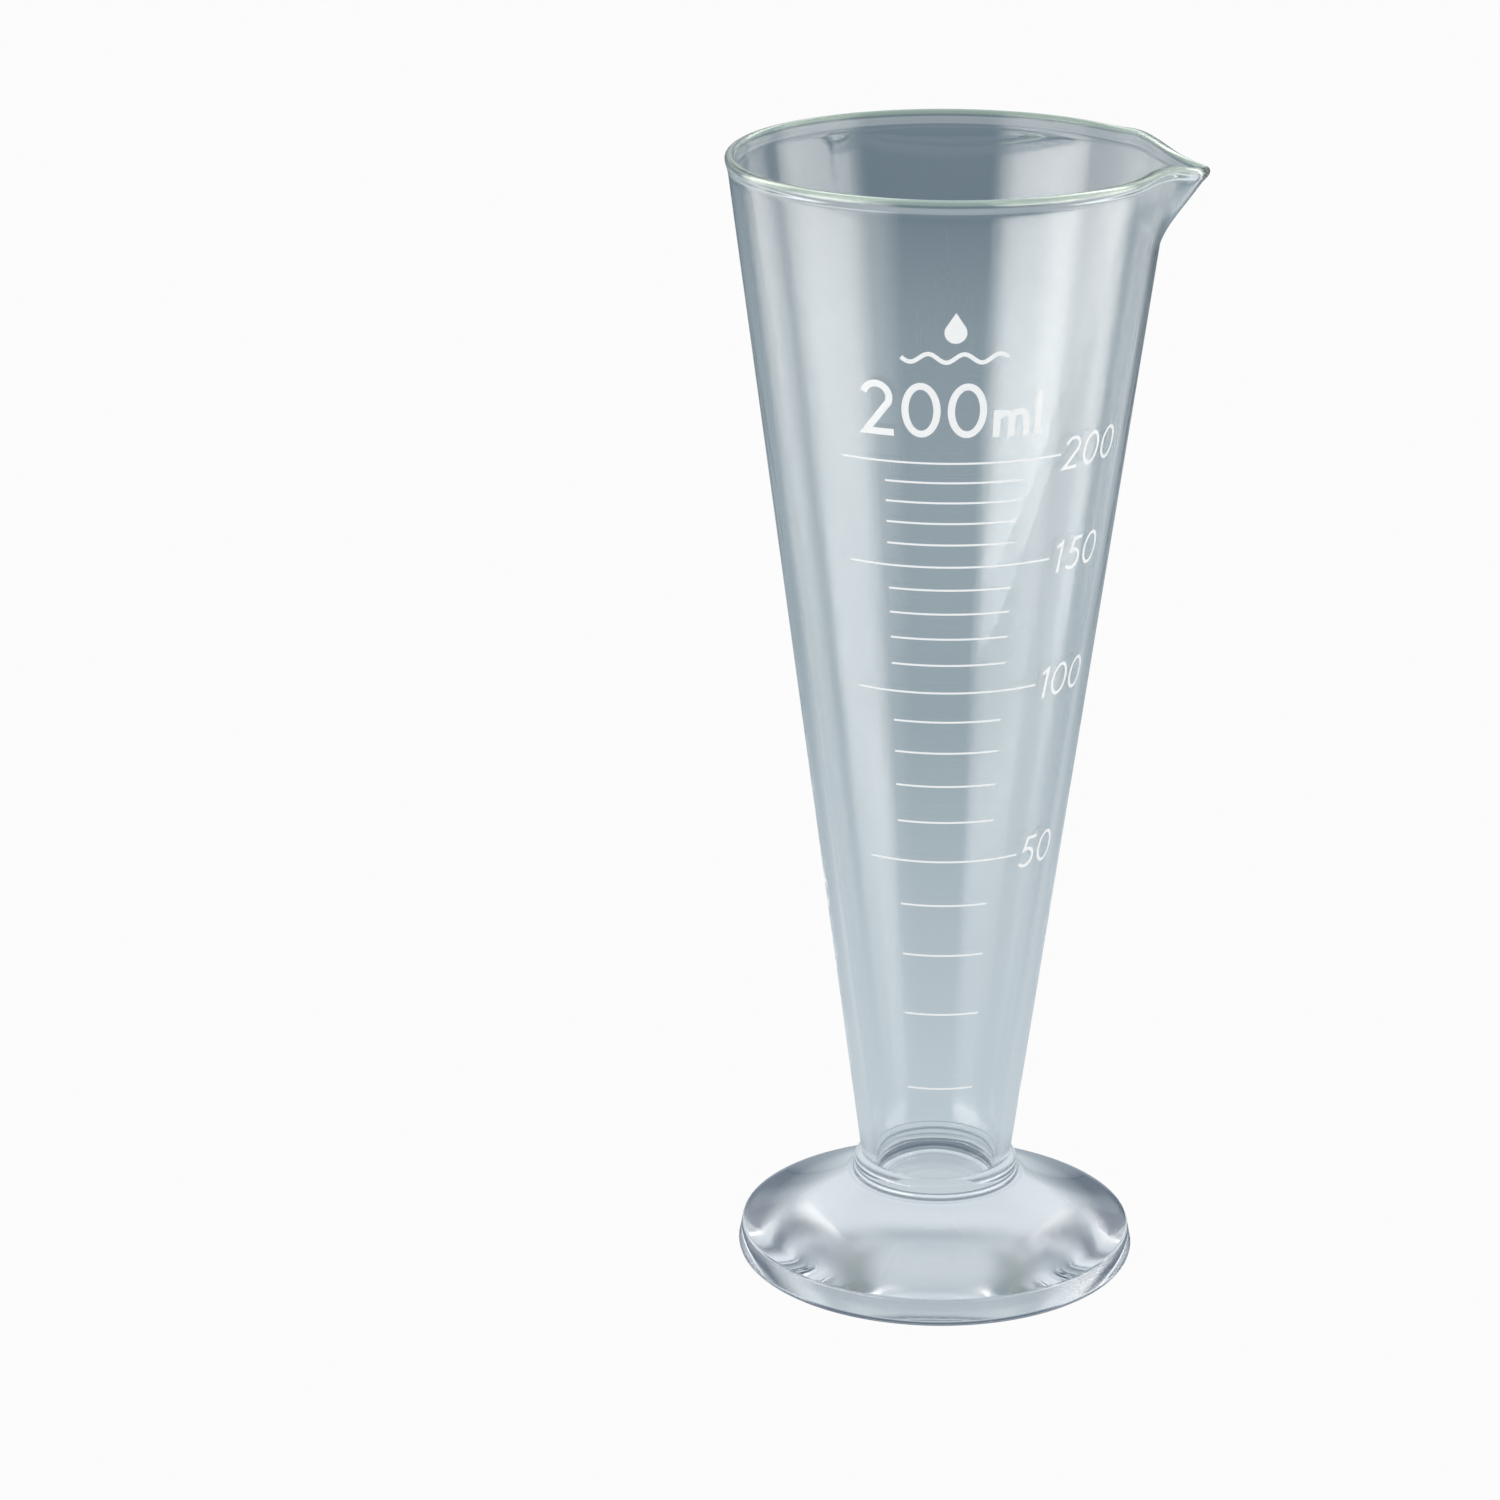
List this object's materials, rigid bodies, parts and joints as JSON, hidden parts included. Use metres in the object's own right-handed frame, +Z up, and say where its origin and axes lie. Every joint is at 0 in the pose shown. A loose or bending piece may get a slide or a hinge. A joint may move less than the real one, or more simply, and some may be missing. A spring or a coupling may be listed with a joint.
{
  "type": "graduated cylinder",
  "caption": "Conical footed glass measure with a pouring lip, a fused collar and foot, and a fired white millilitre scale with numbers.",
  "frame": {"origin": "centre of the foot's flat underside, on the table", "axes": "+Z up along the axis of the cone; +X towards the pouring lip; the scale faces -Y"},
  "size_m": [0.0828, 0.0766, 0.2038],
  "materials": {
    "cone_glass": "clear, fire-polished",
    "collar_glass": "clear, fused",
    "foot_glass": "clear, pressed",
    "white_enamel": "fired enamel print, satin"
  },
  "bodies": {
    "root": {"glass_cone": "cone_glass", "fused_collar": "collar_glass", "glass_foot": "foot_glass", "graduation_010": "white_enamel", "graduation_020": "white_enamel", "graduation_030": "white_enamel", "graduation_040": "white_enamel", "graduation_050": "white_enamel", "graduation_060": "white_enamel", "graduation_070": "white_enamel", "graduation_080": "white_enamel", "graduation_090": "white_enamel", "graduation_100": "white_enamel", "graduation_110": "white_enamel", "graduation_120": "white_enamel", "graduation_130": "white_enamel", "graduation_140": "white_enamel", "graduation_150": "white_enamel", "graduation_160": "white_enamel", "graduation_170": "white_enamel", "graduation_180": "white_enamel", "graduation_190": "white_enamel", "graduation_200": "white_enamel", "numeral_050": "white_enamel", "numeral_100": "white_enamel", "numeral_150": "white_enamel", "numeral_200": "white_enamel", "capacity_number": "white_enamel", "capacity_unit": "white_enamel", "emblem_drop": "white_enamel", "emblem_wave": "white_enamel"}
  },
  "joints": []
}
